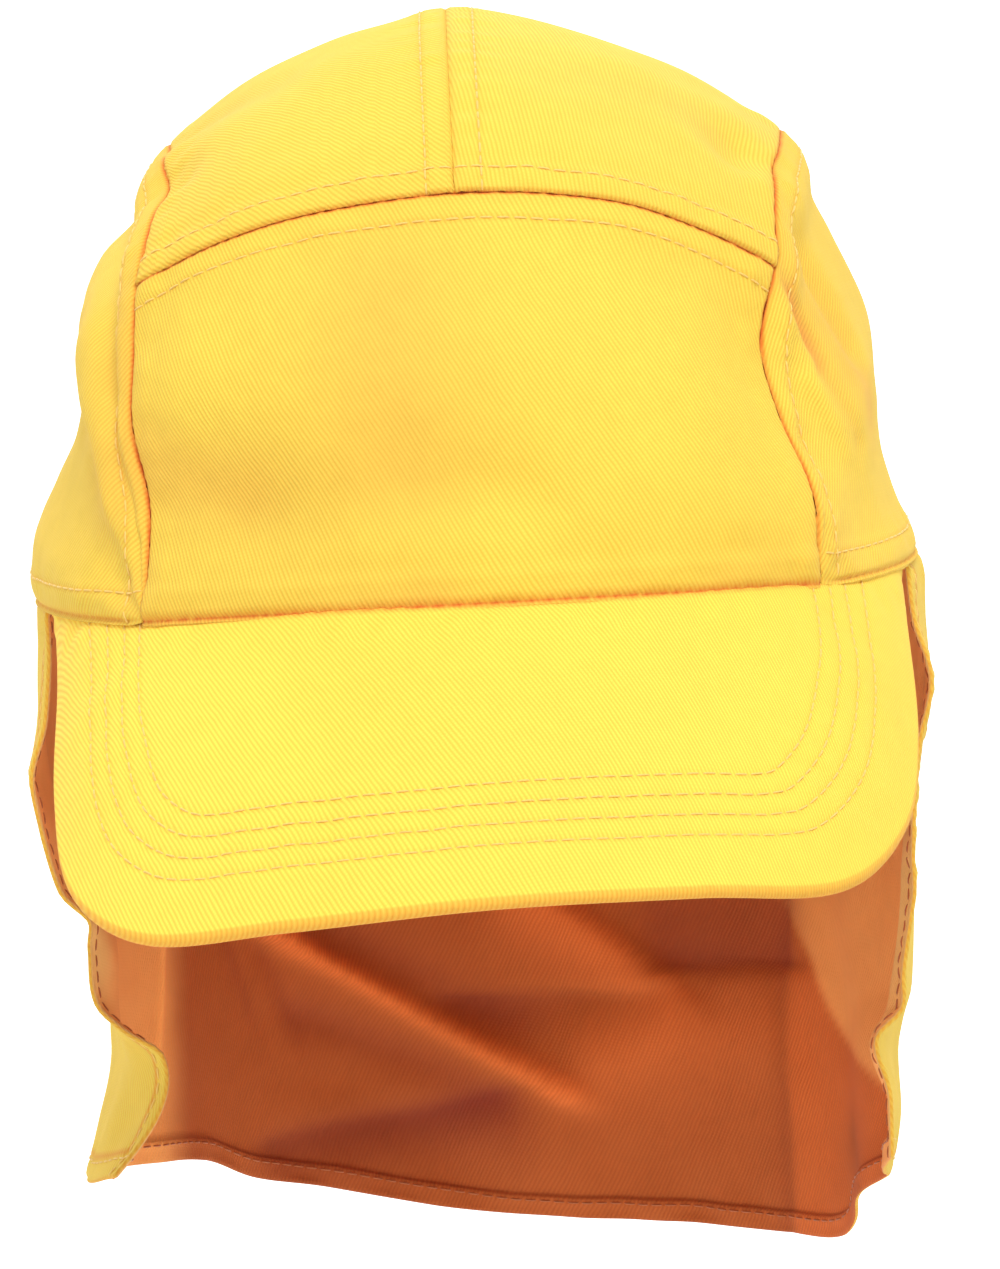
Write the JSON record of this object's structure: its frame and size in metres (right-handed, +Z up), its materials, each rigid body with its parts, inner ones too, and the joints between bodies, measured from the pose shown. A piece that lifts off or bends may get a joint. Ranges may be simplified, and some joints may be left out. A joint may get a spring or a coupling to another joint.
{
  "type": "legionnaire cap",
  "caption": "Legionnaire cap: a panelled cotton crown with a curved, stitched peak in front and a loose cloth flap that hangs over the neck and ears.",
  "frame": {"origin": "middle of the head opening, at the level of the crown's lower edge, where the cap sits on a head", "axes": "+Z up through the crown, -Y to the front where the peak points, +X to the viewer's right when the cap is seen from the front"},
  "size_m": [0.17, 0.2374, 0.2539],
  "materials": {
    "yellow_twill": "matt cotton twill, woven with fine slanting ribs",
    "flap_lining_side": "matt cotton twill, the shaded inner face of the cloth",
    "sewing_thread": "matt cotton thread in rows of short stitches"
  },
  "bodies": {
    "root": {"front_panel": "yellow_twill", "top_panel_left": "yellow_twill", "top_panel_right": "yellow_twill", "side_panel_left": "yellow_twill", "side_panel_right": "yellow_twill", "peak": "yellow_twill", "neck_flap": "yellow_twill"}
  },
  "joints": []
}
